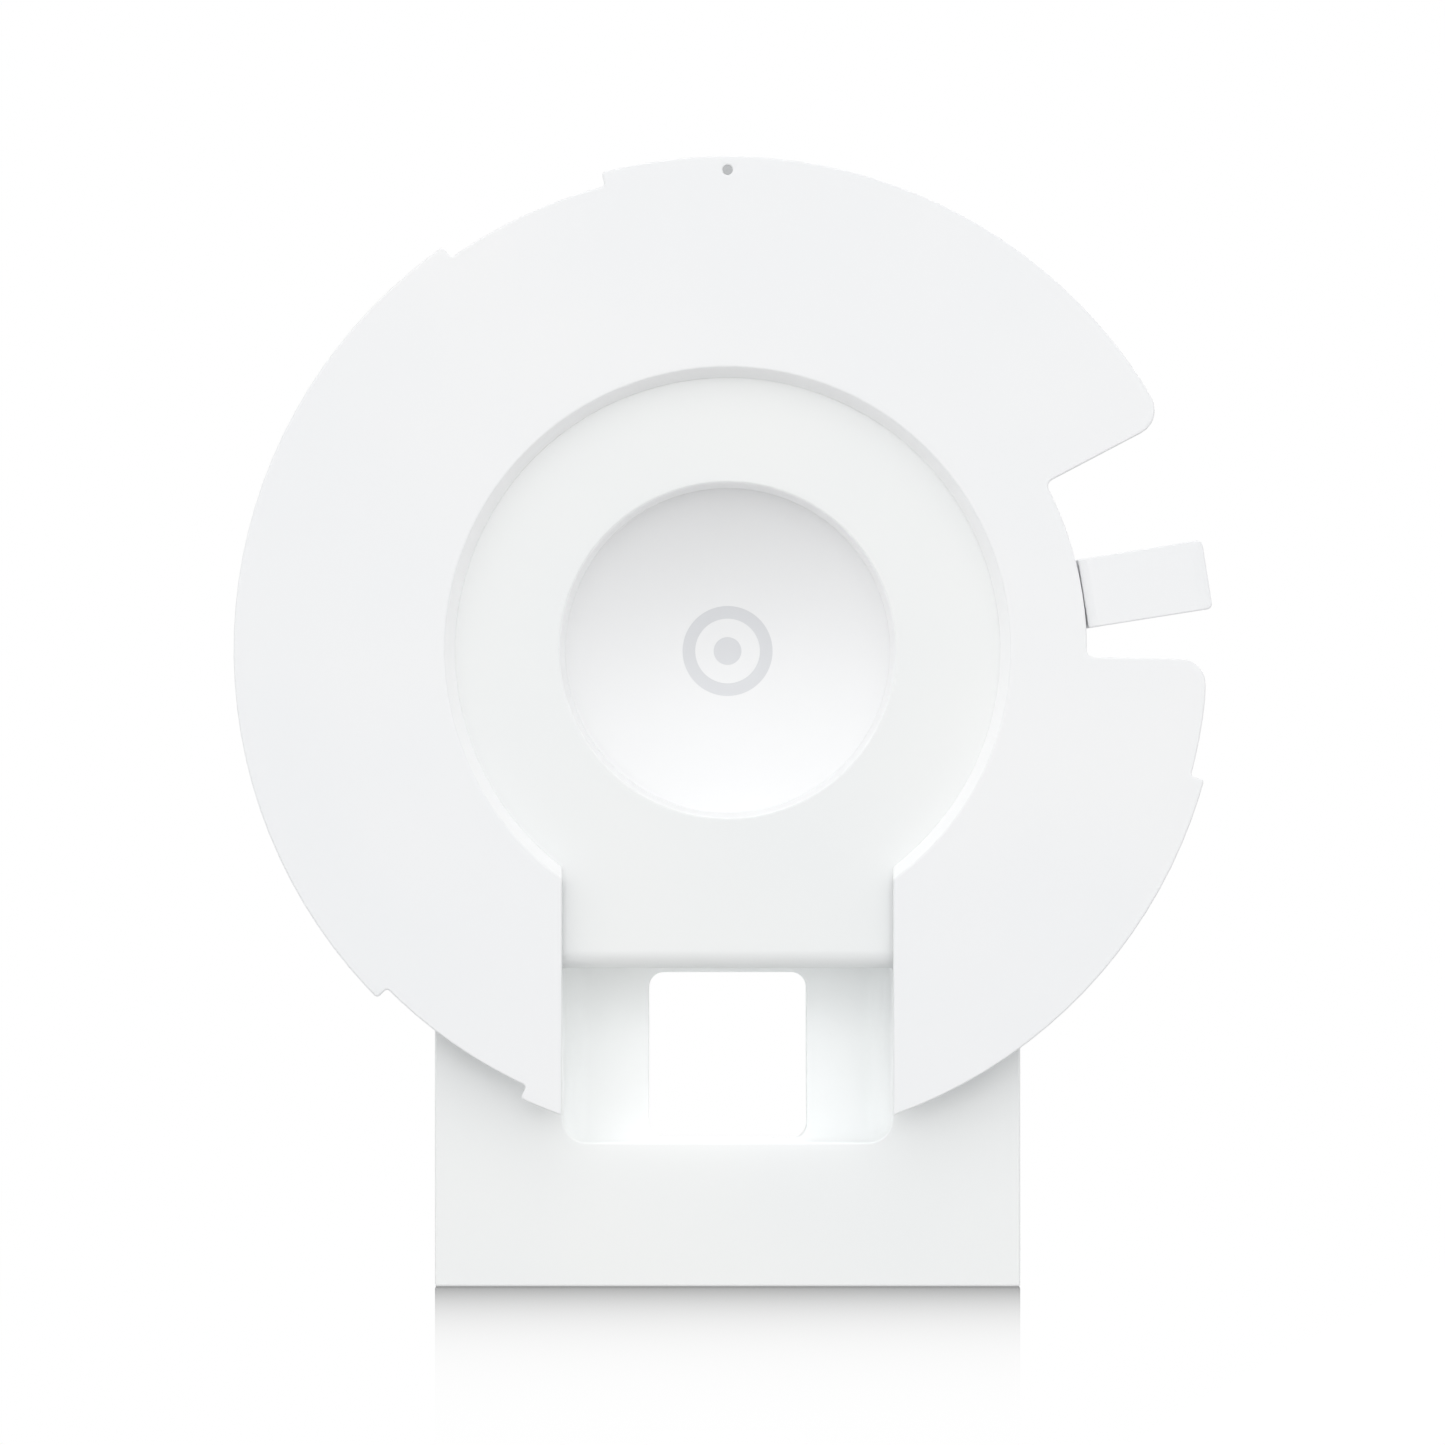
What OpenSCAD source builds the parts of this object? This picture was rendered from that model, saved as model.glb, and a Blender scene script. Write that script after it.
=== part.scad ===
// Wall arm mount for a round ceiling access point.
// A flanged disc takes the access point on a three-lug twist lock. A hollow L-shaped arm holds
// the disc out from the wall and hooks onto a steel wall plate. The model stands on its wall
// face: +Z points away from the wall, the disc faces -Y, and +Y is up when the arm is on a wall.
// The origin is the middle of the wall plate's screw pattern, on the wall face.

/* [Disc] */
// Diameter over the lugs of the twist-lock disc
disc_d = 135; // [134:0.5:136]
// Thickness of the disc
disc_t = 2.5; // [2.2:0.1:2.6]
// Depth of the three notches in the disc's rim
notch_depth = 1.9; // [1.5:0.1:2.3]
// Width of each notch, as an angle
notch_angle = 20.4; // [18:0.2:22]
// Angle at which the first notch starts, anticlockwise from +X
notch_start = 104.8; // [104:0.2:106]
// Radius of the recess at the disc's front face
recess_r = 38.66; // [38.5:0.02:38.8]
// Depth of the recess floor behind the disc's front face
recess_depth = 3; // [2.9:0.1:3.2]
// How much the recess wall narrows from front to floor
recess_taper = 1.38; // [1.2:0.02:1.5]
// Width of the cable channel through the disc
channel_w = 45.3; // [45.2:0.1:46]

/* [Lever] */
// Angle of the lock lever's centre line above +X
lever_angle = 9; // [8.5:0.1:9.5]
// Width of the lock lever
lever_w = 9.5; // [9:0.1:10]
// Radius of the lever's tip from the disc's centre
lever_tip_r = 66.4; // [64:0.1:67]
// Inner radius of the cut-out round the lever
cut_r = 49.1; // [49:0.1:49.4]
// Angle of the cut-out's upper edge
cut_high = 27.7; // [24:0.1:30]
// Angle of the cut-out's lower edge
cut_low = -1.1; // [-2:0.1:0]

/* [Arm] */
// Width of the arm and the wall housing
arm_w = 80.5; // [80:0.1:81]
// Height of the disc's centre above the wall face
head_z = 87.45; // [87.35:0.05:89]
// Depth of the arm's front face behind the disc's front face
arm_depth = 7; // [6.9:0.1:7.2]
// Thickness of the arm from front to back
arm_t = 20.5; // [20.4:0.1:21]
// Outer radius of the round head
head_r = 47; // [46.8:0.1:47.4]
// Wall thickness of the moulded shell
wall_t = 2.5; // [2.4:0.1:2.6]
// Radius of the cup's mouth at the recess floor
cup_r = 23; // [22.8:0.1:23.2]
// Depth of the dished cap inside the cup
dish_depth = 6; // [5:0.1:6.4]

/* [Cable window] */
// Width of the cable window
window_w = 21.9; // [20:0.1:23]
// Height of the window's lower edge above the wall face
window_low = 20; // [19.95:0.05:21]
// Height of the window's upper edge above the wall face
window_high = 42.7; // [41.5:0.05:42.95]
// Radius of the scoop's curved floor
scoop_r = 16.2; // [15.8:0.1:16.4]
// Height of the scoop's lip above the wall face
lip_z = 19.8; // [19.75:0.05:19.9]
// Height of the neck's underside above the wall face
neck_z = 43.85; // [43.65:0.05:44.05]

/* [Wall plate] */
// Distance of the arm's front face from the middle of the screw pattern
front_y = 60; // [60:0.1:61]
// Length of the wall housing
housing_l = 112; // [112:0.5:114]
// Height of the wall housing
housing_h = 14; // [13.9:0.1:14.1]
// Travel of the arm on its studs
slide = 7; // [6:0.1:7]
// Spacing of the two tall-box screw slots
tall_pitch = 83.3; // [82:0.1:84]
// Spacing of the two round-box screw slots
round_pitch = 60.3; // [59:0.1:61]

/* [Hidden] */
$fn = 96;

eps = 0.01;
over = 1;                                   // how far a cutter runs past a face
disc_r = disc_d / 2;
notch_r = disc_r - notch_depth;
disc_y = -front_y - arm_depth;              // the disc's front face
arm_hw = arm_w / 2;
blend_r = 18;                               // fillet between the round head and the leg
leg_back = -front_y + arm_t;
housing_back = housing_l - front_y;
corner_r = 10;                              // inner fillet between the leg and the housing
cover_t = 2;
cover_depth = arm_depth + arm_t - cover_t;  // the cover's inner face, from the disc's front
sheet_t = 1.5;                              // steel of the arm's core
core_depth = arm_depth + wall_t + 0.2;
core_z = 4.3;                               // underside of the core's foot
bolt_r = 41.3;                              // radius of the disc's screw circle
bolt_angles = [45, 135, 225, 315];
insert_r = 2.1;                             // the threaded inserts' radius
insert_depth = 2.9;                         // and their front end's depth
boss_r = 3.2;
foot_bosses = [for (x = [-34.6, 34.6], y = [-18, 43.5]) [x, y]];
head_bosses = [[-41.9, 0], [41.9, 0]];      // from the disc's centre
stud_points = [for (x = [-27, 27], y = [-30, 30]) [x, y]];
stud_r = 2.2;
stud_head_r = 3.9;
lock_p = [20, 6.5];                         // the lock screw's place, in X and Z
tab_y = 45.5;                               // near face of the wall plate's tab
grommet_y = -19;
pivot = [44.5, 4.75];                       // the lever's pin: radius and depth
pin_r = 0.75;
ear_t = 1.6;
ear_gap = 0.2;
white = [0.93, 0.94, 0.94];
steel = [0.72, 0.73, 0.75];
rubber = [0.25, 0.25, 0.26];

// ---- placing -----------------------------------------------------------------------------

// A point at radius r and angle a.
function polar(r, a) = [r * cos(a), r * sin(a)];

// Points of an arc from angle a0 to a1, at most step degrees apart.
function arc(centre, r, a0, a1, step = 5) =
    let (n = ceil(abs(a1 - a0) / step))
    [for (i = [0:n]) centre + polar(r, a0 + (a1 - a0) * i / n)];

// Stands a flat shape up at a depth behind the disc's front face, and gives it thickness h.
module at_depth(depth, h) {
    translate([0, disc_y + depth + h, head_z]) rotate([90, 0, 0])
        linear_extrude(height = h) children();
}

// A cylinder or cone along Y, centred p away from the disc's centre.
module post(depth, h, r_front, r_back, p = [0, 0]) {
    translate([p.x, disc_y + depth + h, head_z + p.y]) rotate([90, 0, 0])
        cylinder(h = h, r1 = r_back, r2 = r_front);
}

// A box from its two corners.
module block(low, high) {
    translate(low) cube(high - low);
}

// Extrudes a side view, drawn in Y and Z, to a half-width hw.
module sideways(hw) {
    translate([-hw, 0, 0]) rotate([90, 0, 90]) linear_extrude(height = 2 * hw) children();
}

// Puts its child where the lever is: +X runs out along the lever, +Y is depth, +Z is across.
module on_lever() {
    translate([0, disc_y, head_z]) rotate([0, -lever_angle, 0]) children();
}

// A rectangle with round corners, from its two corners.
module round_rect(low, high, r) {
    translate([low.x + r, low.y]) square([high.x - low.x - 2 * r, high.y - low.y]);
    translate([low.x, low.y + r]) square([high.x - low.x, high.y - low.y - 2 * r]);
    for (x = [low.x + r, high.x - r], y = [low.y + r, high.y - r])
        translate([x, y]) circle(r);
}

// A slot of radius r whose two end centres are d apart along X.
module slot(r, d) {
    square([d, 2 * r], center = true);
    for (s = [-1, 1]) translate([s * d / 2, 0]) circle(r);
}

// ---- disc --------------------------------------------------------------------------------

// The corner b of a path a-b-c, rounded to radius r.
function rounded(a, b, c, r, n = 4) =
    let (u = (a - b) / norm(a - b), v = (c - b) / norm(c - b), half = acos(u * v) / 2,
         centre = b + (u + v) / norm(u + v) * r / sin(half),
         p = b + u * r / tan(half) - centre, q = b + v * r / tan(half) - centre,
         a0 = atan2(p.y, p.x), turn = (atan2(q.y, q.x) - a0 + 540) % 360 - 180)
    [for (i = [0:n]) centre + polar(r, a0 + turn * i / n)];

// A step of the rim between radii r0 and r1 at angle a, with both of its corners rounded.
function rim_step(r0, r1, a, r) = concat(
    rounded(polar(r0, a - 2), polar(r0, a), polar(r1, a), r, 3),
    rounded(polar(r0, a), polar(r1, a), polar(r1, a + 2), r, 3));

// The rim from the cut-out's upper edge anticlockwise to the channel, then round the recess
// and on to the cut-out's lower edge.
module disc_flat() {
    lug = 0.5;
    starts = [for (k = [0:2]) notch_start + 120 * k];
    ends = [for (a = starts) a + notch_angle];
    rim_half = asin(channel_w / 2 / disc_r);
    mouth_half = asin(channel_w / 2 / (recess_r - 3));
    o = [0, 0];
    polygon(concat(
        rounded(polar(cut_r, cut_high), polar(disc_r, cut_high), polar(disc_r, cut_high + 6), 3.5, 6),
        arc(o, disc_r, cut_high + 5, starts[0] - 2, 3),
        rim_step(disc_r, notch_r, starts[0], lug),
        arc(o, notch_r, starts[0] + 2, ends[0] - 2, 3),
        rim_step(notch_r, disc_r, ends[0], lug),
        arc(o, disc_r, ends[0] + 2, starts[1] - 2, 3),
        rim_step(disc_r, notch_r, starts[1], lug),
        arc(o, notch_r, starts[1] + 2, ends[1] - 2, 3),
        rim_step(notch_r, disc_r, ends[1], lug),
        arc(o, disc_r, ends[1] + 2, 270 - rim_half, 3),
        arc(o, recess_r - 3, 270 - mouth_half, mouth_half - 90, 10),
        arc(o, disc_r, rim_half - 90, starts[2] - 362, 3),
        rim_step(disc_r, notch_r, starts[2] - 360, lug),
        arc(o, notch_r, starts[2] - 358, cut_low - 5, 3),
        rounded(polar(notch_r, cut_low - 6), polar(notch_r, cut_low), polar(cut_r, cut_low), 3.5, 6),
        rounded(polar(notch_r, cut_low), polar(cut_r, cut_low), polar(cut_r, cut_low + 4), 1),
        arc(o, cut_r, cut_low + 2, cut_high - 2, 3),
        rounded(polar(cut_r, cut_high - 4), polar(cut_r, cut_high), polar(disc_r, cut_high), 1)));
}

// An ear that carries one end of the lever's pin.
module lever_ear(side) {
    inner = lever_w / 2 + ear_gap;
    z0 = side > 0 ? inner : -inner - ear_t;
    on_lever() difference() {
        union() {
            translate([pivot.x, pivot.y, z0]) cylinder(r = 1.9, h = ear_t);
            block([pivot.x - 1.9, disc_t - eps, z0], [pivot.x + 1.9, pivot.y, z0 + ear_t]);
        }
        translate([pivot.x, pivot.y, z0 - over]) cylinder(r = pin_r, h = ear_t + 2 * over);
    }
}

module bayonet_plate() {
    spacer_r = 3.4;
    slope = recess_taper / recess_depth;
    color(white) difference() {
        union() {
            at_depth(0, disc_t) disc_flat();
            // the tapered wall of the recess, open at the channel
            difference() {
                post(disc_t - eps, recess_depth - disc_t + eps, recess_r + 0.8, recess_r + 0.14);
                block([-channel_w / 2, disc_y - over, 0],
                      [channel_w / 2, disc_y + recess_depth + over, head_z]);
            }
            for (a = bolt_angles)
                post(disc_t - eps, arm_depth - disc_t + eps, spacer_r, spacer_r, polar(bolt_r, a));
            for (side = [-1, 1]) lever_ear(side);
        }
        post(-over, recess_depth + 2 * over, recess_r + over * slope,
             recess_r - (recess_depth + over) * slope);
        // room beside the spacers for the raised floor of the recess
        post(recess_depth, arm_depth, recess_r + 0.3, recess_r + 0.3);
        for (a = bolt_angles)
            post(insert_depth, arm_depth, insert_r, insert_r, polar(bolt_r, a));
        post(-over, over + 0.6, 0.65, 0.65, polar(notch_r, 90));
    }
}

module index_dot() {
    color([0.62, 0.63, 0.64])
        post(0.1, 0.5, 0.65, 0.65, polar(notch_r, 90));
}

module thread_inserts() {
    color([0.8, 0.65, 0.35])
        for (a = bolt_angles) difference() {
            post(insert_depth, arm_depth - insert_depth - 0.05, insert_r, insert_r,
                 polar(bolt_r, a));
            post(insert_depth - over, arm_depth, 1.5, 1.5, polar(bolt_r, a));
        }
}

// A pan-head screw along Y, its head seated at a depth and its tip nearer the front.
module rear_screw(p, seat, length, r, head_r, head_h) {
    difference() {
        union() {
            post(seat - length, length + eps, r, r, p);
            post(seat, head_h, head_r, head_r - 0.5, p);
        }
        post(seat + head_h / 2, head_h, 0.9, 0.9, p);
    }
}

module plate_screws() {
    color(steel) for (a = bolt_angles)
        rear_screw(polar(bolt_r, a), core_depth + sheet_t + 0.5, 8.3, 1.5, 2.8, 2);
}

module plate_washers() {
    color(steel) for (a = bolt_angles) difference() {
        post(core_depth + sheet_t, 0.5, 3, 3, polar(bolt_r, a));
        post(core_depth, 4, 1.7, 1.7, polar(bolt_r, a));
    }
}

// ---- lever -------------------------------------------------------------------------------

module lock_lever() {
    half = lever_w / 2;
    hub_r = 1.7;
    t = 1.6;
    ramp = [[cut_r + 0.12, pivot.y - t / 2], [cut_r + 0.12, 0.7], [cut_r + 1.2, 0.15]];
    coil_half = 1.8;
    tip_r = 0.8;
    front = 0.05;
    color(white) on_lever() difference() {
        union() {
            translate([pivot.x, pivot.y, -half]) cylinder(r = hub_r, h = lever_w);
            // side view: out from the hub, forward through the cut-out, a short ramp, flat, sloped tip
            translate([0, 0, -half]) linear_extrude(height = lever_w) polygon(concat(
                [[pivot.x, pivot.y - t / 2]], ramp,
                [[ramp[2].x + 0.4, front], [lever_tip_r - 1.8, front], [lever_tip_r, front + 0.55],
                 [lever_tip_r, front + t], [ramp[2].x + 1.2, front + t],
                 [ramp[0].x + 1.8, pivot.y + t / 2], [pivot.x, pivot.y + t / 2]]));
            // the heel that rests on the head
            block([pivot.x - 3.4, pivot.y + 0.3, -half], [pivot.x, arm_depth - 0.15, half]);
        }
        translate([pivot.x, pivot.y, -half - over])
            cylinder(r = pin_r + 0.04, h = lever_w + 2 * over);
        // room for the spring round the pin
        block([pivot.x - 3.5, 0, -coil_half], [pivot.x + 2.3, arm_depth, coil_half]);
        for (s = [-1, 1]) lever_corner(s, half, tip_r);
    }
}

// What has to go to round one corner of the lever's tip.
module lever_corner(s, half, r) {
    translate([lever_tip_r - r, -over, s * (half - r)]) rotate([-90, 0, 0]) difference() {
        translate([0, s > 0 ? -2 * r : 0]) cube([2 * r, 2 * r, 4]);
        translate([0, 0, -over]) cylinder(r = r, h = 6);
    }
}

module lever_pin() {
    length = lever_w + 2 * (ear_gap + ear_t);
    color(steel) on_lever() translate([pivot.x, pivot.y, -length / 2])
        cylinder(r = pin_r - 0.005, h = length);
}

// A torsion spring round the pin: close coils with a straight leg at each end.
module lever_spring() {
    wire = 0.25;
    coil_r = 1.15;
    coils = 5;
    pitch = 0.55;
    color(steel) on_lever() {
        for (i = [0:coils - 1])
            translate([pivot.x, pivot.y, (i - (coils - 1) / 2) * pitch])
                rotate_extrude() translate([coil_r, 0]) circle(r = pitch / 2 + eps, $fn = 16);
        for (s = [-1, 1])
            translate([pivot.x, pivot.y + s * coil_r, s * pitch * (coils - 1) / 2])
                rotate([0, s * 90, 0]) cylinder(r = wire, h = s > 0 ? 2 : 3, $fn = 16);
    }
}

// ---- arm ---------------------------------------------------------------------------------

// The arm's outline from the front: a round head blended into a straight leg, inset by t.
module paddle(t) {
    drop = sqrt(pow(head_r + blend_r, 2) - pow(arm_hw + blend_r, 2));
    blend = [arm_hw + blend_r, -drop];      // centre of the blend on the +X side
    a = atan(drop / blend.x);
    side = concat([[arm_hw - t, -head_z - over]], arc(blend, blend_r + t, 180, 180 - a));
    polygon(concat(side, arc([0, 0], head_r - t, 3 - a, 177 + a),
                   [for (i = [len(side) - 1:-1:0]) [-side[i].x, side[i].y]]));
}

// The arm's side view, in Y and Z. Its front, back and rear faces are inset by the amounts
// given, and it starts at height low.
module side_view(front, rear, back, low) {
    high = head_z + head_r + over;
    inner = [leg_back + corner_r, housing_h + corner_r];
    polygon(concat([[-front_y + front, low], [housing_back - back, low],
                    [housing_back - back, housing_h - rear]],
                   arc(inner, corner_r + rear, 270, 180),
                   [[leg_back - rear, high], [-front_y + front, high]]));
}

// The far top corner of the side view, cut off at 45 degrees.
module far_corner() {
    c = 1.5;
    polygon([[housing_back - c - over, housing_h + over], [housing_back + over, housing_h + over],
             [housing_back + over, housing_h - c - over]]);
}

// Cuts the side view given as a child to the front outline, inset by t.
module arm_solid(t) {
    intersection() {
        sideways(head_r + over) children();
        translate([0, housing_back + over, head_z]) rotate([90, 0, 0])
            linear_extrude(height = housing_l + 2 * over) paddle(t);
    }
}

// Half the section of a drum of radius r and half-length hw, with round rims.
module drum_section(r, hw, rim) {
    translate([0, -hw]) square([r - rim, 2 * hw]);
    translate([0, -hw + rim]) square([r, 2 * hw - 2 * rim]);
    for (s = [-1, 1]) translate([r - rim, s * (hw - rim)]) circle(rim);
}

// The scoop below the neck: a quarter-round floor, then a flat back, enlarged by grow.
module scoop_space(grow) {
    hw = 22.6 + grow;
    r = scoop_r + grow;
    rim = 3.3 + grow;
    zc = lip_z + scoop_r;
    translate([0, -front_y, zc]) rotate([0, 90, 0]) rotate_extrude() drum_section(r, hw, rim);
    translate([0, 0, zc]) linear_extrude(height = neck_z + grow - zc)
        round_rect([-hw, -front_y - r], [hw, -front_y + r], rim);
}

// The raised neck below the recess. Its sides run in behind the disc, and its lower front edge
// is round.
module neck() {
    low_r = 2.5;
    y0 = disc_y + recess_depth;
    y1 = -front_y + wall_t;
    sideways(channel_w / 2 + 1.2) {
        translate([y0, neck_z + low_r]) square([y1 - y0, head_z - neck_z - low_r]);
        translate([y0 + low_r, neck_z]) square([y1 - y0 - low_r, low_r + eps]);
        translate([y0 + low_r, neck_z + low_r]) circle(low_r);
    }
}

scoop_box_hw = 25.9;                        // reaches in behind the edges of the cover's opening

// The box round the scoop, hollow behind the scoop's skin.
module scoop_box() {
    hw = scoop_box_hw;
    intersection() {
        difference() {
            block([-hw, -front_y, housing_h - wall_t],
                  [hw, leg_back + corner_r - 1.2, neck_z + wall_t]);
            difference() {
                block([-22.6, -front_y, housing_h - 0.1], [22.6, 0, neck_z]);
                scoop_space(2.3);
            }
        }
        sideways(hw + over) side_view(0, cover_t + 0.15, 0, -over);
    }
}

cup_floor = 8.5;                            // depth at which the cup's wall meets the cap
cap_r = 22.8;
cup_foot_r = cup_r - 0.65;                  // the cup's radius at its cap
cup_slope = (cup_r - cup_foot_r) / (cup_floor - recess_depth);

module arm_shell() {
    floor_r = recess_r + 0.14;
    back = cover_depth - 0.1;
    color(white) difference() {
        union() {
            difference() {
                arm_solid(0) side_view(0, cover_t, 0, 0);
                arm_solid(wall_t) side_view(wall_t, -over, wall_t, -over);
            }
            post(recess_depth, arm_depth + wall_t - recess_depth, floor_r, floor_r);
            neck();
            scoop_box();
            post(arm_depth, cup_floor + 4 - arm_depth, cup_r + 2.2, cup_r + 2.2);
            for (p = head_bosses) post(arm_depth, back - arm_depth, boss_r, boss_r, p);
            for (p = foot_bosses) foot_boss(p);
            // thickening round the lock screw
            translate([lock_p.x, housing_back - 1, lock_p.y]) rotate([90, 0, 0])
                cylinder(r = 4.8, h = wall_t);
        }
        // the cup's tapered bore, then the seat of its cap
        post(recess_depth - over, cup_floor - recess_depth + 2 * over, cup_r + over * cup_slope,
             cup_foot_r - over * cup_slope);
        post(cup_floor, 10, cap_r + 0.05, cap_r + 0.05);
        // the scoop and the window behind it
        intersection() {
            scoop_space(0);
            block([-arm_hw, -front_y - over, 0], [arm_hw, leg_back, neck_z]);
        }
        at_depth(arm_depth - over, arm_t + 2 * over)
            round_rect([-window_w / 2, window_low - head_z], [window_w / 2, window_high - head_z], 2.1);
        for (a = bolt_angles) post(0, cover_depth, 1.7, 1.7, polar(bolt_r, a));
        for (p = head_bosses) post(cover_depth - 9, 10, 1.3, 1.3, p);
        for (p = foot_bosses) translate([p.x, p.y, 0]) cylinder(r = 1.3, h = housing_h);
        // the lock screw's hole and counterbore
        translate([lock_p.x, housing_back + over, lock_p.y]) rotate([90, 0, 0]) {
            cylinder(r = 1.7, h = 8);
            cylinder(r = 3.4, h = 1.8 + over);
        }
    }
}

// A boss inside the housing, tied to the side wall by a rib.
module foot_boss(p) {
    low = core_z + sheet_t;
    high = housing_h - cover_t;
    side = sign(p.x);
    translate([p.x, p.y, low]) cylinder(r = boss_r, h = high - low);
    block([min(p.x, side * (arm_hw - 1)), p.y - 1.5, low],
          [max(p.x, side * (arm_hw - 1)), p.y + 1.5, high]);
}

// The pressed steel core: a front leg behind the disc and a foot that hooks onto the studs.
module arm_core() {
    gap = wall_t + 0.3;
    key_r = stud_head_r + 0.4;
    hw = arm_hw - gap;
    y0 = disc_y + core_depth;
    scoop_hw = scoop_box_hw + 0.4;
    color(steel) difference() {
        union() {
            intersection() {
                at_depth(core_depth, sheet_t) paddle(gap);
                block([-head_r, y0 - over, core_z], [head_r, y0 + 4, head_z + head_r]);
            }
            block([-hw, y0, core_z], [hw, housing_back - wall_t - 3.5, core_z + sheet_t]);
        }
        post(0, cover_depth, cup_r + 2.6, cup_r + 2.6);
        block([-scoop_hw, y0 - over, housing_h - wall_t - 0.4],
              [scoop_hw, y0 + 4, neck_z + wall_t + 0.4]);
        for (p = head_bosses) post(0, cover_depth, boss_r + 0.4, boss_r + 0.4, p);
        for (a = bolt_angles) post(0, cover_depth, 1.7, 1.7, polar(bolt_r, a));
        translate([0, 0, core_z - over]) linear_extrude(height = sheet_t + 2 * over) {
            for (p = stud_points) keyhole(p, key_r);
            for (p = foot_bosses) translate(p) circle(1.6);
            round_rect([-18, -45], [18, 6], 5);
            translate([lock_p.x - 9, tab_y - slide - 3.1]) square([18, 20]);
        }
    }
}

// A keyhole: the stud sits in its narrow end and passes its wide end after the arm's travel.
module keyhole(p, key_r) {
    r = stud_r + 0.3;
    translate([p.x, p.y - slide]) circle(key_r);
    translate(p) circle(r);
    translate([p.x - r, p.y - slide]) square([2 * r, slide]);
}

// A pan-head screw along Z. Its head's flat side is at z, and s = 1 points its tip up.
module foot_screw(p, z, length, s, r, head_r, head_h) {
    translate([p.x, p.y, z]) mirror([0, 0, s > 0 ? 0 : 1]) difference() {
        union() {
            translate([0, 0, -eps]) cylinder(r = r, h = length);
            translate([0, 0, -head_h]) cylinder(r1 = head_r - 0.4, r2 = head_r, h = head_h);
        }
        translate([0, 0, -head_h - over]) cylinder(r = 0.9, h = over + head_h / 2);
    }
}

module core_screws() {
    color(steel) for (p = foot_bosses) foot_screw(p, core_z, 4.4, 1, 1.29, 2.7, 1.5);
}

cover_seat = 1.1;                           // plastic left under the head of a cover screw
cover_head_r = 2.7;

module rear_cover() {
    color(white) difference() {
        arm_solid(0) difference() {
            side_view(0, 0, 0, 0);
            side_view(-over, cover_t, -over, -over);
            far_corner();
        }
        // open behind the scoop
        block([-25.1, -front_y, housing_h - 0.4],
              [25.1, leg_back + corner_r - 1, neck_z + wall_t + 0.2]);
        for (p = head_bosses) {
            post(0, 40, 1.5, 1.5, p);
            post(cover_depth + cover_seat, 5, cover_head_r + 0.3, cover_head_r + 0.3, p);
        }
        for (p = foot_bosses) translate([p.x, p.y, 0]) {
            cylinder(r = 1.5, h = 40);
            translate([0, 0, housing_h - cover_t + cover_seat]) cylinder(r = cover_head_r + 0.3, h = over + cover_t);
        }
        translate([0, grommet_y, 0]) linear_extrude(height = 40) slot(7, 8);
    }
}

module cover_screws() {
    head_h = cover_t - cover_seat - 0.05;
    color(steel) {
        for (p = head_bosses)
            rear_screw(p, cover_depth + cover_seat, 7, 1.29, cover_head_r, head_h);
        for (p = foot_bosses)
            foot_screw(p, housing_h - cover_t + cover_seat, 4, -1, 1.29, cover_head_r, head_h);
    }
}

module centre_cap() {
    t = 1.4;
    ball_r = (cup_foot_r * cup_foot_r + dish_depth * dish_depth) / (2 * dish_depth);
    color(white) intersection() {
        difference() {
            union() {
                post(cup_floor + 0.05, 2.5, cap_r, cap_r);
                post(cup_floor + 0.05, dish_depth + t, cup_foot_r, 10);
            }
            // the dish, a shallow part of a large ball
            translate([0, disc_y + cup_floor + dish_depth - ball_r, head_z])
                rotate([90, 0, 0]) sphere(r = ball_r, $fn = 120);
        }
        post(cup_floor, dish_depth + t, cap_r, cap_r);
    }
}

module cable_grommet() {
    color(rubber) translate([0, grommet_y, 0]) difference() {
        union() {
            translate([0, 0, housing_h]) linear_extrude(height = 1.4) slot(8.6, 8);
            translate([0, 0, housing_h - cover_t - eps])
                linear_extrude(height = cover_t + 2 * eps) slot(6.95, 8);
            translate([0, 0, housing_h - cover_t - 1.6]) linear_extrude(height = 1.6) slot(8, 8);
        }
        translate([0, 0, housing_h - 8]) linear_extrude(height = 12) slot(4, 6);
    }
}

// ---- wall plate --------------------------------------------------------------------------

module wall_plate() {
    t = 2;
    color(steel) difference() {
        union() {
            linear_extrude(height = t) difference() {
                round_rect([-36.5, -49.5], [36.5, tab_y + sheet_t], 4);
                round_rect([-15, -26], [15, 26], 6);
                for (s = [-1, 1]) {
                    translate([0, s * tall_pitch / 2]) rotate(90) slot(2.2, 2.6);
                    translate([s * round_pitch / 2, 0]) slot(2.2, 4);
                }
            }
            block([lock_p.x - 8, tab_y, 0], [lock_p.x + 8, tab_y + sheet_t, lock_p.y + 4.5]);
        }
        translate([lock_p.x, tab_y + 4, lock_p.y]) rotate([90, 0, 0]) cylinder(r = 1.8, h = 8);
    }
}

module hook_studs() {
    head_z0 = core_z + sheet_t + 0.2;
    color(steel) for (p = stud_points) translate([p.x, p.y, 2]) {
        cylinder(r = stud_r, h = head_z0 - 2 + eps);
        translate([0, 0, head_z0 - 2]) cylinder(r = stud_head_r, h = 1.4);
    }
}

module lock_nut() {
    color(steel) translate([lock_p.x, tab_y, lock_p.y]) rotate([90, 0, 0]) difference() {
        cylinder(r = 3.1, h = 2.6, $fn = 6);
        translate([0, 0, -over]) cylinder(r = 1.55, h = 6);
    }
}

module lock_screw() {
    seat = housing_back - 1.8 + 0.4;
    color(steel) translate([lock_p.x, seat, lock_p.y]) rotate([90, 0, 0]) difference() {
        union() {
            cylinder(r = 1.47, h = seat - 41);
            translate([0, 0, -1.3]) cylinder(r1 = 2.5, r2 = 2.8, h = 1.3 + eps);
        }
        translate([0, 0, -1.3 - over]) cylinder(r = 1.1, h = over + 0.8, $fn = 6);
    }
}

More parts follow.
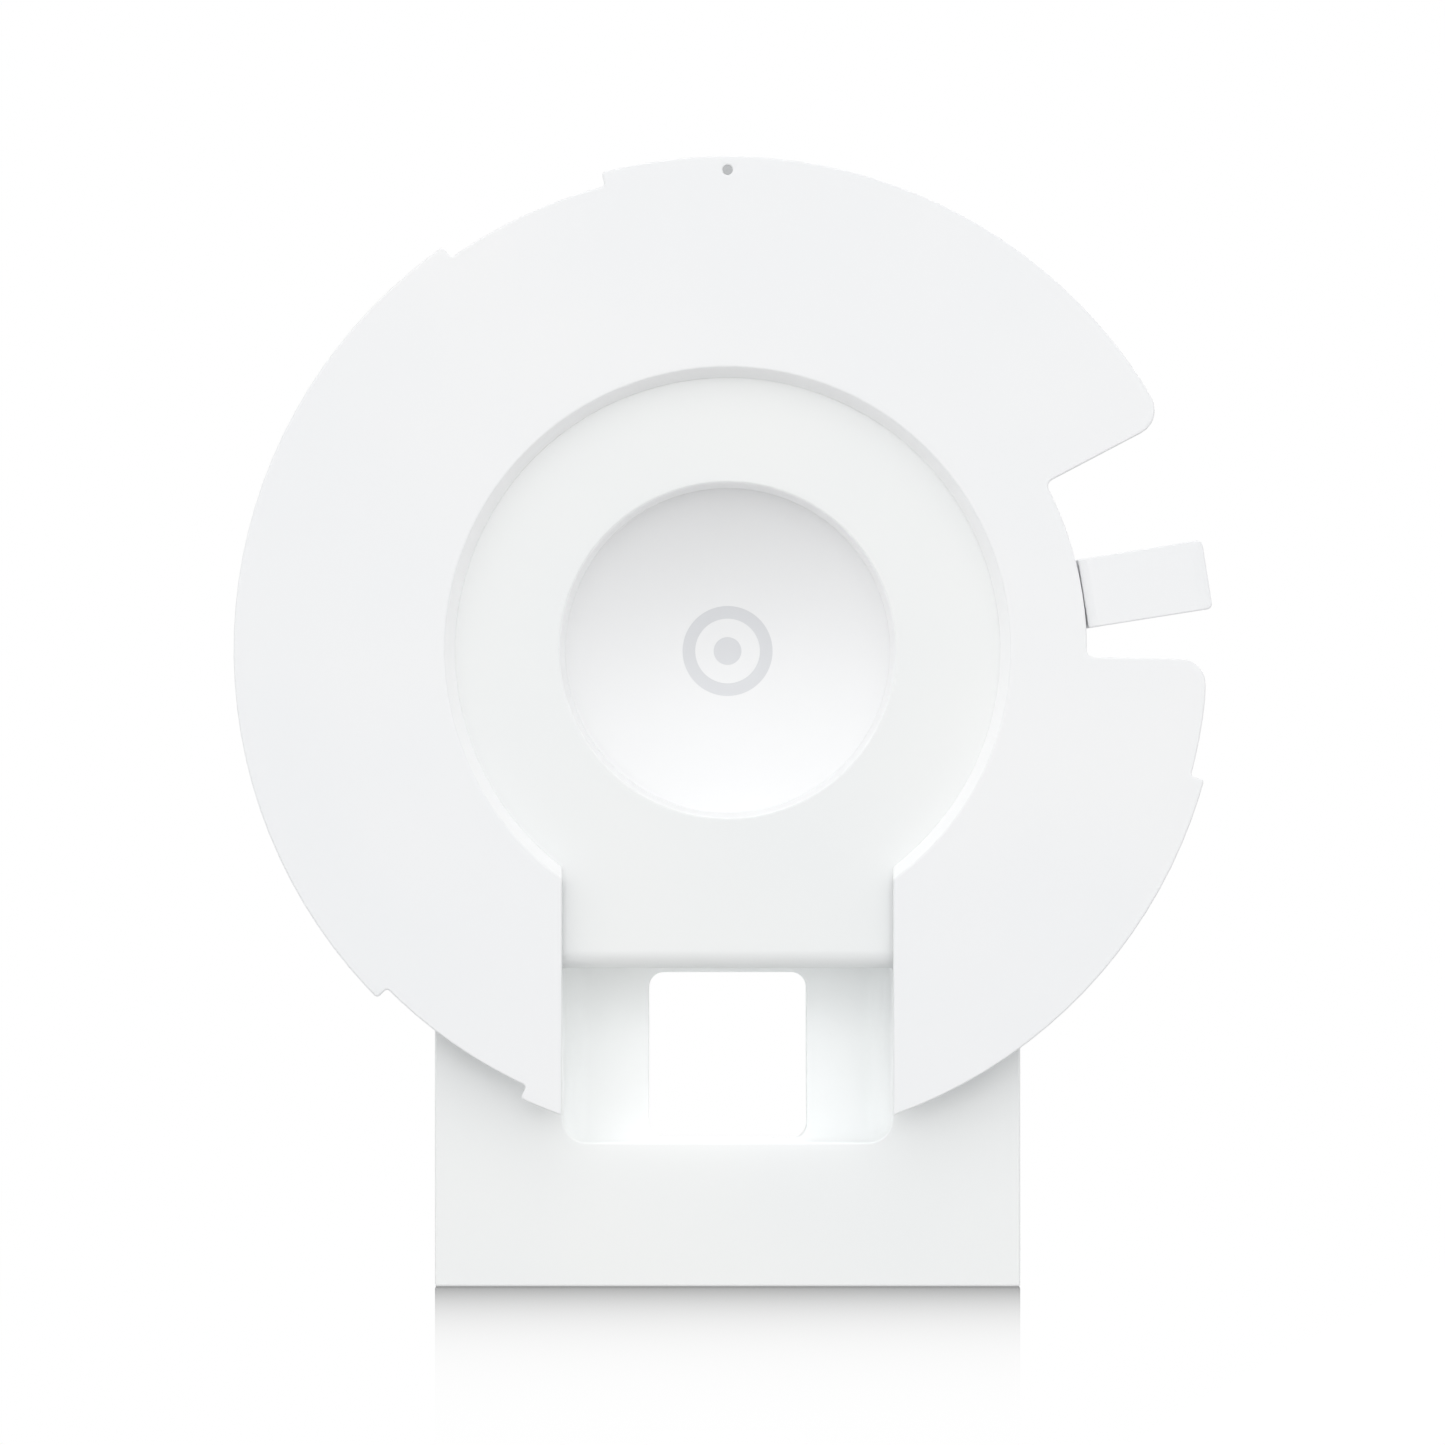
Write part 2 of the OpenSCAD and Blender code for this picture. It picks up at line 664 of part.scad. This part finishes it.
module lock_washer() {
    color(steel) translate([lock_p.x, housing_back - 1.8 + 0.35, lock_p.y]) rotate([90, 0, 0])
        difference() {
            cylinder(r = 3.2, h = 0.35);
            translate([0, 0, -over]) cylinder(r = 1.6, h = 3);
        }
}

wall_plate();
hook_studs();
lock_nut();
arm_shell();
arm_core();
core_screws();
bayonet_plate();
thread_inserts();
plate_screws();
plate_washers();
centre_cap();
index_dot();
lever_pin();
lock_lever();
lever_spring();
cable_grommet();
lock_screw();
lock_washer();
rear_cover();
cover_screws();
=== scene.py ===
# %% [markdown]
# # A wall arm for a round ceiling access point
#
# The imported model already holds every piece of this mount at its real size, in metres. What is
# left to do here is the finish: the soft edges that a mould leaves, the grain of the plastic,
# zinc on steel, rubber, and a pale studio to see them in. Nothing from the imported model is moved.

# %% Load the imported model
from math import cos, pi, radians

import bmesh
import bpy
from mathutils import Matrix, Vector


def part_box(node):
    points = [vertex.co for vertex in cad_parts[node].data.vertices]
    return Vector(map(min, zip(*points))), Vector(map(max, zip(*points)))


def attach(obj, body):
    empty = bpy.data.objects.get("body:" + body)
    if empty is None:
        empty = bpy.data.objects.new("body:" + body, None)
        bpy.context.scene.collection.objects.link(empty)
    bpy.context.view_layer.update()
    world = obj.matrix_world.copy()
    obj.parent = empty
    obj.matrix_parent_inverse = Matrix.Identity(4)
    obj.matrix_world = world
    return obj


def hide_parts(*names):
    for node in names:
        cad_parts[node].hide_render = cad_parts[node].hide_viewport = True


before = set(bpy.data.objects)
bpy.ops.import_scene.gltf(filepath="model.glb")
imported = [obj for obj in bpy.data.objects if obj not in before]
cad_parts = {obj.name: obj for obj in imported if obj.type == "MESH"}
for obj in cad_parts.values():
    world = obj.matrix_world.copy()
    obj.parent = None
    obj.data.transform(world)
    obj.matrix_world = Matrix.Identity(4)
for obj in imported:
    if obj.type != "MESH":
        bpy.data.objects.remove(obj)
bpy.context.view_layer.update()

# %% [markdown]
# ## Measures
#
# The pieces and the floor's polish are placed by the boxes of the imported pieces, so the looks
# follow the model if a size changes. The middle of the dished cap is the middle of the disc.

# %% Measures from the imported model
MM = 0.001
cap_low, cap_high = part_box("centre_cap")
disc_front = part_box("bayonet_plate")[0].y
shell_low, shell_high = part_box("arm_shell")
axis = (cap_low + cap_high) / 2
centre = Vector((axis.x, disc_front, axis.z))
foot_front = shell_low.y
foot_half = max(v.co.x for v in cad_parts["arm_shell"].data.vertices if v.co.z < 1 * MM)
print("disc centre", [round(v, 4) for v in centre])

# %% [markdown]
# ## Camera
#
# The camera stands far off with a long lens, square on to the disc, so that circles stay circles.
# The lens follows from two lengths: how far the camera stands from the disc and how wide a
# stretch of the disc's plane fills the frame. The camera sits a little below the disc's centre,
# nearer to the middle of the whole object.

# %% Camera
camera_gap = 1060 * MM
frame_width = 197.4 * MM
below_centre = 9.9 * MM
beside_centre = -0.7 * MM

camera_data = bpy.data.cameras.new("camera")
camera_data.sensor_width = 36
camera_data.lens = camera_data.sensor_width * camera_gap / frame_width
camera_data.clip_start = 0.01
camera = bpy.data.objects.new("camera", camera_data)
camera.location = centre + Vector((beside_centre, -camera_gap, -below_centre))
camera.rotation_euler = (pi / 2, 0, 0)
bpy.context.scene.collection.objects.link(camera)
bpy.context.scene.camera = camera
print("lens", round(camera_data.lens, 1), "mm")

# %% [markdown]
# ## Shader maths as expressions
#
# A procedural material is a small program drawn as boxes and wires. Written out box by box it is
# hard to read, so this class wraps one output socket and lets ordinary Python operators add the
# Math nodes. `1 - mask` and `noise * 0.2 + 0.4` then mean what they say. Every other kind of node
# comes from one method, which takes the node's type, its settings and its inputs.

# %% A socket that understands operators
class Wire:
    def __init__(self, socket):
        self.socket = socket
        self.tree = socket.id_data

    def node(self, kind, settings=None, output=0, **inputs):
        made = self.tree.nodes.new(kind)
        for key, value in (settings or {}).items():
            setattr(made, key, value)
        for key, value in inputs.items():
            name = key.replace("_", " ")
            target = made.inputs[int(key[1:])] if key[1:].isdigit() else made.inputs[name]
            if isinstance(value, Wire):
                self.tree.links.new(value.socket, target)
            else:
                target.default_value = value
        return None if output is None else Wire(made.outputs[output])

    def math(self, operation, a, b=0.0, clamp=False):
        settings = {"operation": operation, "use_clamp": clamp}
        return self.node("ShaderNodeMath", settings, _0=a, _1=b)

    def __add__(self, other):
        return self.math("ADD", self, other)

    def __radd__(self, other):
        return self.math("ADD", other, self)

    def __sub__(self, other):
        return self.math("SUBTRACT", self, other)

    def __rsub__(self, other):
        return self.math("SUBTRACT", other, self)

    def __mul__(self, other):
        return self.math("MULTIPLY", self, other)

    def __truediv__(self, other):
        return self.math("DIVIDE", self, other)

    def above(self, edge):
        return self.math("GREATER_THAN", self, edge)

    def below(self, edge):
        return self.math("LESS_THAN", self, edge)

    def between(self, low, high):
        """A ramp from 0 at low to 1 at high, clamped."""
        return self.math("DIVIDE", self - low, high - low, clamp=True)

    def mix_colour(self, first, second):
        """first where this wire is 0, second where it is 1."""
        settings = {"data_type": "RGBA"}
        return self.node("ShaderNodeMix", settings, 2, _0=self, _6=first, _7=second)


print("operators ready")

# %% [markdown]
# ## The start of every material
#
# Each finish begins the same way: an empty node tree with one Principled shader, and the object
# coordinates that its patterns are drawn in. Object coordinates are metres here, so a scale of
# 1 / (0.5 mm) gives grains half a millimetre wide.

# %% Material helpers
def start(name, **constants):
    material = bpy.data.materials.new(name)
    material.use_nodes = True
    shader = material.node_tree.nodes["Principled BSDF"]
    for key, value in constants.items():
        shader.inputs[key.replace("_", " ")].default_value = value
    place = material.node_tree.nodes.new("ShaderNodeTexCoord").outputs["Object"]
    return material, shader, Wire(place)


def feed(shader, socket, wire):
    wire.tree.links.new(wire.socket, shader.inputs[socket])


def noise(place, grain, detail=2.0, rough=0.5):
    """Soft random grey with grains about that many metres wide."""
    return place.node("ShaderNodeTexNoise", None, 0, Vector=place, Scale=1 / grain,
                      Detail=detail, Roughness=rough)


def bump(place, height, depth):
    return place.node("ShaderNodeBump", None, 0, Height=height, Distance=depth, Strength=1.0)


def rgb(r, g, b):
    return (r, g, b, 1.0)


def coordinate(place, letter):
    return place.node("ShaderNodeSeparateXYZ", None, "XYZ".index(letter), Vector=place)


def off_axis(place):
    """The distance from the disc's axis, which runs along Y."""
    centred = place.node("ShaderNodeVectorMath", {"operation": "SUBTRACT"}, 0,
                         _0=place, _1=tuple(centre))
    flat = place.node("ShaderNodeVectorMath", {"operation": "MULTIPLY"}, 0,
                      _0=centred, _1=(1.0, 0.0, 1.0))
    return place.node("ShaderNodeVectorMath", {"operation": "LENGTH"}, 1, _0=flat)


print("material helpers ready")

# %% [markdown]
# ## White moulded plastic
#
# The arm, the disc and the cap are polycarbonate blends moulded in a spark-eroded tool. The tool's
# fine texture is about a quarter of a millimetre across and only a few microns deep: it takes the
# mirror out of the surface without making it look rough. Two more layers matter at arm's length:
# a slow drift in tone where the plastic cooled at different speeds, and slightly glossier patches
# where hands have polished the texture. The walls of the recess and of the cup get painted light:
# a paler colour, which brightens walls that the lamps leave too dark.
#
# Known fault: the painted light starts at a depth and never ends. The rear cover is made of the
# same plastic, so it has a paler round patch of painted light on its back, behind the cup. A second
# threshold on the depth, at the cup's floor, would end it there.

# %% White plastic
def white_plastic(name, tone, grain, gloss, painted_light_depth=None, painted_light_radius=None):
    """The last two arguments place painted light on the walls: a paler colour from that depth behind
    the disc's front, within that radius of the disc's axis.
    """
    material, shader, place = start(name, IOR=1.5, Subsurface_Weight=0.0)
    drift = noise(place, 45 * MM, 2.0)
    cloud = noise(place, 6 * MM, 3.0)
    fine = noise(place, grain, 3.0, 0.6)
    pale = rgb(*tone)
    cool = rgb(tone[0] * 0.975, tone[1] * 0.982, tone[2] * 0.99)
    skin = drift.between(0.35, 0.65).mix_colour(pale, cool)
    # Painted light: walls deeper than that depth and within that radius get a paler colour.
    if painted_light_depth:
        depth = coordinate(place, "Y") - disc_front
        painted_light_mask = depth.above(painted_light_depth) * off_axis(place).below(painted_light_radius)
        skin = painted_light_mask.mix_colour(skin, rgb(*painted_light_tone))
    feed(shader, "Base Color", skin)
    feed(shader, "Roughness", gloss + cloud * 0.10 + fine * 0.06)
    feed(shader, "Normal", bump(place, fine, 0.004 * MM))
    return material


# The paler colour of the painted light on the walls of the recess and of the cup.
painted_light_tone = (0.955, 0.96, 0.965)
disc_tone = (0.885, 0.89, 0.895)
# The two lengths at the end of a call place the painted light: the cup's walls on the shell, the
# whole recess on the disc.
shell_white = white_plastic("shell_white", (0.87, 0.88, 0.875), 0.28 * MM, 0.42, 3.1 * MM, 24 * MM)
disc_white = white_plastic("disc_white", disc_tone, 0.24 * MM, 0.44, 0.15 * MM, 39 * MM)
lever_white = white_plastic("lever_white", disc_tone, 0.24 * MM, 0.40)
print("white plastics:", shell_white.name, disc_white.name, lever_white.name)

# %% [markdown]
# ## The cap's printed sign
#
# The dished cap carries a small pad-printed sign in pale grey: a plain dot inside a ring. It is
# ink a few microns thick, so it has no shape of its own. The distance from the disc's axis is all
# that the pattern needs, and two thresholds on it make the ring.

# %% Cap plastic with its print
dot_r, ring_inner_r, ring_outer_r = 1.9 * MM, 4.5 * MM, 6.2 * MM
ink_edge = 0.05 * MM


def cap_plastic(name, tone):
    material, shader, place = start(name, IOR=1.5)
    away = off_axis(place)
    dot = 1 - away.between(dot_r, dot_r + ink_edge)
    ring = (away.between(ring_inner_r - ink_edge, ring_inner_r)
            * (1 - away.between(ring_outer_r, ring_outer_r + ink_edge)))
    print_mask = dot + ring
    fine = noise(place, 0.22 * MM, 3.0, 0.6)
    drift = noise(place, 30 * MM, 2.0)
    plain = drift.between(0.35, 0.65).mix_colour(rgb(*tone), rgb(*[t * 0.985 for t in tone]))
    feed(shader, "Base Color", print_mask.mix_colour(plain, rgb(0.70, 0.71, 0.73)))
    feed(shader, "Roughness", 0.44 + fine * 0.08 - print_mask * 0.10)
    feed(shader, "Normal", bump(place, fine * (1 - print_mask), 0.003 * MM))
    return material


cap_white = cap_plastic("cap_white", (0.875, 0.88, 0.885))
print("cap:", cap_white.name)

# %% [markdown]
# ## Ink, rubber and metals
#
# The index dot is grey ink in a shallow pit. The grommet is matt dark grey rubber with a faint
# bloom. Zinc plate shows a soft drift of grey with fine drawing lines, so its pattern is noise
# stretched along one axis. Brass and spring wire are the same recipe in other colours.

# %% Ink and rubber
def ink(name, colour):
    material, shader, place = start(name, Specular_IOR_Level=0.4)
    speck = noise(place, 0.15 * MM, 2.0)
    dark = rgb(*[c * 0.9 for c in colour])
    feed(shader, "Base Color", speck.between(0.3, 0.7).mix_colour(rgb(*colour), dark))
    feed(shader, "Roughness", 0.5 + speck * 0.1)
    return material


def rubber(name):
    material, shader, place = start(name, IOR=1.52)
    grain = noise(place, 0.3 * MM, 4.0, 0.65)
    bloom = noise(place, 4 * MM, 3.0)
    feed(shader, "Base Color", bloom.between(0.4, 0.7).mix_colour(rgb(0.09, 0.091, 0.094),
                                                                 rgb(0.14, 0.14, 0.143)))
    feed(shader, "Roughness", 0.62 + grain * 0.2)
    feed(shader, "Normal", bump(place, grain, 0.02 * MM))
    return material


dot_ink = ink("dot_ink", (0.51, 0.52, 0.53))
grommet_rubber = rubber("grommet_rubber")
print("ink and rubber ready")

# %% Metals
def metal(name, colour, rough, stretch=(1.0, 1.0, 1.0), grain=0.5 * MM):
    material, shader, place = start(name, Metallic=1.0)
    drawn = place.node("ShaderNodeMapping", None, 0, Vector=place, Scale=stretch)
    lines = noise(drawn, grain, 4.0, 0.6)
    spangle = noise(place, 5 * MM, 3.0)
    dull = rgb(*[c * 0.82 for c in colour])
    feed(shader, "Base Color", spangle.between(0.35, 0.65).mix_colour(rgb(*colour), dull))
    feed(shader, "Roughness", rough + lines * 0.14 + spangle * 0.08)
    feed(shader, "Normal", bump(place, lines, 0.004 * MM))
    return material


zinc_sheet = metal("zinc_sheet", (0.62, 0.64, 0.66), 0.26, (0.08, 1.0, 1.0))
zinc_screw = metal("zinc_screw", (0.72, 0.73, 0.75), 0.20, grain=0.3 * MM)
spring_wire = metal("spring_wire", (0.48, 0.49, 0.51), 0.25, grain=0.2 * MM)
insert_brass = metal("insert_brass", (0.80, 0.62, 0.30), 0.25, grain=0.3 * MM)
print("metals ready")

# %% [markdown]
# ## Soft edges on the moulded pieces
#
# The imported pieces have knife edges, and no moulding has those. The model's meshes are left
# alone: a copy is merged from loose triangles into one closed skin, losing only its shortest
# edges, and then every edge that turns sharply is bevelled with the bevel operator. The radius is
# the maker's choice for each piece: three tenths of a millimetre on the shells, less on the disc
# and on steel, a little more on rubber. Weighted normals keep the flat faces flat between the
# round edges.

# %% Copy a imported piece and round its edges
same_point, shortest_edge, tiny_face = 0.002 * MM, 0.1 * MM, 0.01 * MM
bevel_steps, bevel_turn, shading_turn = 3, radians(32), radians(35)


def dressed(node, name, body, material, edge):
    """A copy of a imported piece, with its sharp edges rounded to about edge metres."""
    shape = bmesh.new()
    shape.from_mesh(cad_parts[node].data)
    for layer in list(shape.loops.layers.float_vector.values()):
        shape.loops.layers.float_vector.remove(layer)
    for gap in (same_point, shortest_edge):
        bmesh.ops.remove_doubles(shape, verts=shape.verts, dist=gap)
    bmesh.ops.dissolve_degenerate(shape, dist=tiny_face, edges=shape.edges)
    sharp = [e for e in shape.edges if len(e.link_faces) == 2
             and e.calc_face_angle(0) > bevel_turn]
    bmesh.ops.bevel(shape, geom=sharp, offset=edge, offset_type="OFFSET", segments=bevel_steps,
                    profile=0.5, affect="EDGES", clamp_overlap=False, material=-1)
    mesh = bpy.data.meshes.new(name)
    shape.to_mesh(mesh)
    shape.free()
    piece = finish_piece(mesh, name, body, material)
    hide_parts(node)
    print(name, len(mesh.polygons), "faces,", len(sharp), "edges rounded")
    return piece


def finish_piece(mesh, name, body, material):
    """Puts a mesh in the scene with smooth shading, its material and its body."""
    mesh.shade_smooth()
    mesh.set_sharp_from_angle(angle=shading_turn)
    mesh.materials.clear()
    mesh.materials.append(material)
    piece = bpy.data.objects.new(name, mesh)
    bpy.context.scene.collection.objects.link(piece)
    weigh = piece.modifiers.new("weighted_normals", "WEIGHTED_NORMAL")
    weigh.keep_sharp = True
    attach(piece, body)
    return piece


# %% The shells, the disc and the lever
dressed("arm_shell", "arm_moulding", "arm", shell_white, 0.3 * MM)
dressed("bayonet_plate", "twist_lock_disc", "arm", disc_white, 0.25 * MM)
dressed("rear_cover", "rear_lid", "arm", shell_white, 0.3 * MM)
dressed("lock_lever", "lock_lever_moulding", "lever", lever_white, 0.2 * MM)

# %% The steel sheet parts and the grommet
dressed("wall_plate", "steel_wall_plate", "wall_plate", zinc_sheet, 0.15 * MM)
dressed("arm_core", "steel_core", "arm", zinc_sheet, 0.12 * MM)
dressed("cable_grommet", "rubber_grommet", "arm", grommet_rubber, 0.4 * MM)

# %% [markdown]
# ## The dished cap
#
# The cap is a round thing, so it is turned like a pot: half of its section is drawn once, from
# the middle of the dish out over the rim and back along the underside, and the spin operator
# carries it round the disc's axis. The dish is a shallow part of a large ball. Its radius
# follows from how deep the dish is and how wide.

# %% The dished cap, spun
cap_r = cap_high.x - centre.x
dish_r = cap_r - 0.45 * MM
cap_wall = 1.35 * MM
boss_r = 10 * MM
dish_deep = cap_high.y - cap_low.y - cap_wall
ball_r = (dish_r ** 2 + dish_deep ** 2) / (2 * dish_deep)
dish_steps = 28
rim = 0.1 * MM


def spun(section, middle, out, steps):
    """A closed solid spun from (radius, height) points; height runs along out from middle."""
    shape = bmesh.new()
    across = out.orthogonal().normalized()
    ring = [shape.verts.new(middle + across * r + out * h) for r, h in section]
    edges = [shape.edges.new(pair) for pair in zip(ring, ring[1:])]
    bmesh.ops.spin(shape, geom=ring + edges, cent=middle, axis=out, angle=2 * pi, steps=steps,
                   use_merge=True, use_normal_flip=False, use_duplicate=False)
    bmesh.ops.remove_doubles(shape, verts=shape.verts, dist=0.001 * MM)
    bmesh.ops.recalc_face_normals(shape, faces=shape.faces)
    return shape


def dish_point(r):
    return r, dish_deep - ball_r + (ball_r ** 2 - r ** 2) ** 0.5


dish = [dish_point(dish_r * i / dish_steps) for i in range(dish_steps)]
edge = [(dish_r - rim, rim), (dish_r + rim, 0.0), (cap_r - rim, 0.0), (cap_r, rim)]
underside = [(cap_r, 2.5 * MM - rim), (cap_r - rim, 2.5 * MM), (dish_r - 3 * MM, 2.5 * MM + rim),
             (boss_r, dish_deep + cap_wall), (0.0, dish_deep + cap_wall)]
section = dish + edge + underside
shape = spun(section, Vector((centre.x, cap_low.y, centre.z)), Vector((0, 1, 0)), 144)
cap_mesh = bpy.data.meshes.new("dished_cap")
shape.to_mesh(cap_mesh)
shape.free()
cap = finish_piece(cap_mesh, "dished_cap", "arm", cap_white)
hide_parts("centre_cap")
print("dished cap", len(cap_mesh.polygons), "faces, dish", round(dish_deep / MM, 2), "mm deep")

# %% [markdown]
# ## Screws with a lobed socket
#
# Small screws in a housing like this have a low round head and a six-lobed socket. The screw is
# spun with a round hole in its head. The ring of points round the hole is then pushed in and out
# six times, which makes the lobes, and the ring is extruded down to the socket's floor.

# %% A screw
lobes, lobe_depth = 6, 0.13


def open_edges(shape):
    return [e for e in shape.edges if len(e.link_faces) == 1]


def screw(seat, out, length, shank_r, head_r, head_h, socket_r):
    """A screw whose head sits on seat and looks along out. Its mesh is closed."""
    section = [(0.0, -length), (shank_r * 0.6, -length), (shank_r, -length + 0.5 * MM),
               (shank_r, 0.0), (head_r - 0.05 * MM, 0.0), (head_r, 0.05 * MM),
               (head_r, head_h * 0.45), (head_r - 0.12 * MM, head_h * 0.75),
               (head_r - 0.4 * MM, head_h), (socket_r * 1.25, head_h), (socket_r, head_h)]
    shape = spun(section, seat, out, 48)
    rim_edges = open_edges(shape)
    across = out.orthogonal().normalized()
    for v in {v for e in rim_edges for v in e.verts}:
        arm = v.co - seat - out * head_h
        v.co += arm * lobe_depth * cos(lobes * across.angle(arm))
    down = bmesh.ops.extrude_edge_only(shape, edges=rim_edges)["geom"]
    low = [v for v in down if isinstance(v, bmesh.types.BMVert)]
    bmesh.ops.translate(shape, verts=low, vec=-out * head_h * 0.6)
    bmesh.ops.holes_fill(shape, edges=open_edges(shape), sides=0)
    bmesh.ops.recalc_face_normals(shape, faces=shape.faces)
    return shape


def screw_set(node, name, body, material, screws):
    """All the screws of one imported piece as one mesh."""
    whole = bmesh.new()
    for numbers in screws:
        part = screw(*numbers)
        mesh = bpy.data.meshes.new(name)
        part.to_mesh(mesh)
        part.free()
        whole.from_mesh(mesh)
        bpy.data.meshes.remove(mesh)
    mesh = bpy.data.meshes.new(name)
    whole.to_mesh(mesh)
    whole.free()
    piece = finish_piece(mesh, name, body, material)
    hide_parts(node)
    print(name, len(screws), "screws,", len(mesh.polygons), "faces")


# %% [markdown]
# ## The screws in their places
#
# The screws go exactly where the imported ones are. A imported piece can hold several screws, so its
# mesh is walked from point to point, which sorts it into separate solids. Each one's box gives
# the place and the length of a screw.

# %% The cover's screws and the lock screw
def separate_boxes(node):
    """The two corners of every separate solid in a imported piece."""
    shape = bmesh.new()
    shape.from_mesh(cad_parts[node].data)
    bmesh.ops.remove_doubles(shape, verts=shape.verts, dist=same_point)
    boxes, found = [], set()
    for first in shape.verts:
        if first in found:
            continue
        found.add(first)
        solid = [first]
        for v in solid:
            fresh = [w for w in (e.other_vert(v) for e in v.link_edges) if w not in found]
            found.update(fresh)
            solid += fresh
        boxes.append([Vector([pick(v.co[i] for v in solid) for i in range(3)])
                      for pick in (min, max)])
    shape.free()
    return boxes


def fitted(low, high, out, shank_r, head_r, head_h, socket_r):
    """What screw() needs to fill the box from low to high with its head towards out."""
    whole = (high - low).dot(out)
    seat = (low + high) / 2 + out * (whole / 2 - head_h)
    return seat, out, whole - head_h, shank_r, head_r, head_h, socket_r


up, back = Vector((0, 0, 1)), Vector((0, 1, 0))
cover_sizes = (1.29 * MM, 2.7 * MM, 0.85 * MM, 1.15 * MM)
lock_sizes = (1.47 * MM, 2.8 * MM, 1.3 * MM, 1.2 * MM)
screw_set("cover_screws", "cover_screw_set", "arm", zinc_screw,
          [fitted(low, high, back if low.z > centre.z / 2 else up, *cover_sizes)
           for low, high in separate_boxes("cover_screws")])
screw_set("lock_screw", "lock_screw_turned", "screw", zinc_screw,
          [fitted(*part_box("lock_screw"), back, *lock_sizes)])

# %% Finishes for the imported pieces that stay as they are
finishes = {
    "hook_studs": zinc_screw, "lock_nut": zinc_screw, "core_screws": zinc_screw,
    "plate_screws": zinc_screw, "plate_washers": zinc_screw, "lever_pin": zinc_screw,
    "lock_washer": zinc_screw,
    "thread_inserts": insert_brass, "lever_spring": spring_wire, "index_dot": dot_ink,
}
for node, material in finishes.items():
    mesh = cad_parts[node].data
    mesh.materials.clear()
    mesh.materials.append(material)
print(len(finishes), "packed pieces given a finish")

# %% [markdown]
# ## Studio
#
# The set is white on white, so the picture is all in the soft shadows. The room is a plain even
# glow. What the camera and the mirror of the floor see of it is set apart from the light that
# falls on the object: a Light Path node tells which kind of ray is asking.

# %% Room light
room_fill = 0.6
room_mirror = 2.2
world = bpy.data.worlds.new("studio")
bpy.context.scene.world = world
world.use_nodes = True
world.node_tree.nodes.clear()
ray_kinds = world.node_tree.nodes.new("ShaderNodeLightPath").outputs
to_camera, mirrored = Wire(ray_kinds["Is Camera Ray"]), Wire(ray_kinds["Is Singular Ray"])
white = rgb(1.0, 1.0, 1.0)


def room_glow(strength):
    return to_camera.node("ShaderNodeBackground", None, 0, Color=white, Strength=strength)


def either(choice, first, second):
    """The shader first where choice is 0, second where it is 1."""
    return choice.node("ShaderNodeMixShader", None, 0, _0=choice, _1=first, _2=second)


indoors = either(mirrored, room_glow(room_fill), room_glow(room_mirror))
room = either(to_camera, indoors, room_glow(1.0))
room.node("ShaderNodeOutputWorld", None, None, Surface=room)
bpy.context.scene.view_settings.view_transform = "Standard"
print("room fill", room_fill)

# %% [markdown]
# ## Soft lamps
#
# Broad far lights shape the object: two from the front, one of them high, a weaker pair from the
# sides, the left one a little stronger, and one behind for the back of the arm. A lamp whose angle
# is 60 degrees wide casts shadows as soft as a large window does. The scoop under the neck would
# be too deep for them, so a small card of light hangs at its mouth, hidden from the camera.

# %% Lamps
def far_light(name, direction, strength, spread=60):
    """Soft light from far off in that direction; spread is the angle it seems to fill."""
    data = bpy.data.lights.new(name, "SUN")
    data.angle = radians(spread)
    data.energy = strength
    hang(name, data, (0, 0, 0.5), direction)


def hang(name, data, place, direction):
    lamp = bpy.data.objects.new(name, data)
    lamp.location = place
    lamp.rotation_euler = Vector(direction).to_track_quat("Z", "Y").to_euler()
    lamp.visible_camera = False
    bpy.context.scene.collection.objects.link(lamp)


far_light("over_front", (0, -0.7, 0.7), 0.56)
far_light("front", (0, -1, 0), 0.87)
far_light("left_side", (-0.8, -0.5, 0.2), 0.67)
far_light("right_side", (0.8, -0.5, 0.2), 0.46)
far_light("behind", (0.3, 0.8, 0.5), 1.1)

card = bpy.data.lights.new("scoop_card", "AREA")
card.shape = "RECTANGLE"
card.size, card.size_y = 38 * MM, 13 * MM
card.energy = 0.00125
card_height = 29 * MM
hang("scoop_card", card, (0, foot_front + 1 * MM, card_height), (0, -1, 0))
print("lamps hung")

# %% [markdown]
# ## Floor
#
# The floor is white, and polished only round the object: a clear reflection where the two meet,
# which dies away within a hand's width. A mirror shader makes the reflection. The mix between
# it and plain white follows the distance from the foot's outline on the floor.

# %% Floor
floor_glow = 0.58
floor_mesh = bpy.data.meshes.new("floor")
shape = bmesh.new()
bmesh.ops.create_grid(shape, x_segments=1, y_segments=1, size=4.0)
shape.to_mesh(floor_mesh)
shape.free()
floor = bpy.data.objects.new("floor", floor_mesh)
floor.location = (0, 0, -0.02 * MM)
bpy.context.scene.collection.objects.link(floor)

foot_mid = (foot_front + shell_high.y) / 2
foot_long = shell_high.y - foot_mid
polish, polish_depth = 0.92, 43 * MM
paper = bpy.data.materials.new("studio_paper")
paper.use_nodes = True
paper.node_tree.nodes.clear()
place = Wire(paper.node_tree.nodes.new("ShaderNodeTexCoord").outputs["Object"])


def beyond(wire, half):
    """How far a coordinate lies outside the stretch from -half to half."""
    past = wire.math("ABSOLUTE", wire) - half
    return past.math("MAXIMUM", past, 0.0)


aside = beyond(coordinate(place, "X"), foot_half)
along = beyond(coordinate(place, "Y") - foot_mid, foot_long)
squares = aside * aside + along * along
away = squares.math("SQRT", squares) / (-polish_depth)
fade = away.math("EXPONENT", away) * polish


def paper_glow(strength):
    return place.node("ShaderNodeEmission", None, 0, Color=white, Strength=strength)


mirror = place.node("ShaderNodeBsdfGlossy", None, 0, Roughness=0.0,
                    Color=rgb(*[1 / room_mirror] * 3))
polished = either(fade, paper_glow(1.0), mirror)
seen = either(place.node("ShaderNodeLightPath"), paper_glow(floor_glow), polished)
seen.node("ShaderNodeOutputMaterial", None, None, Surface=seen)
floor_mesh.materials.append(paper)
print("floor laid")
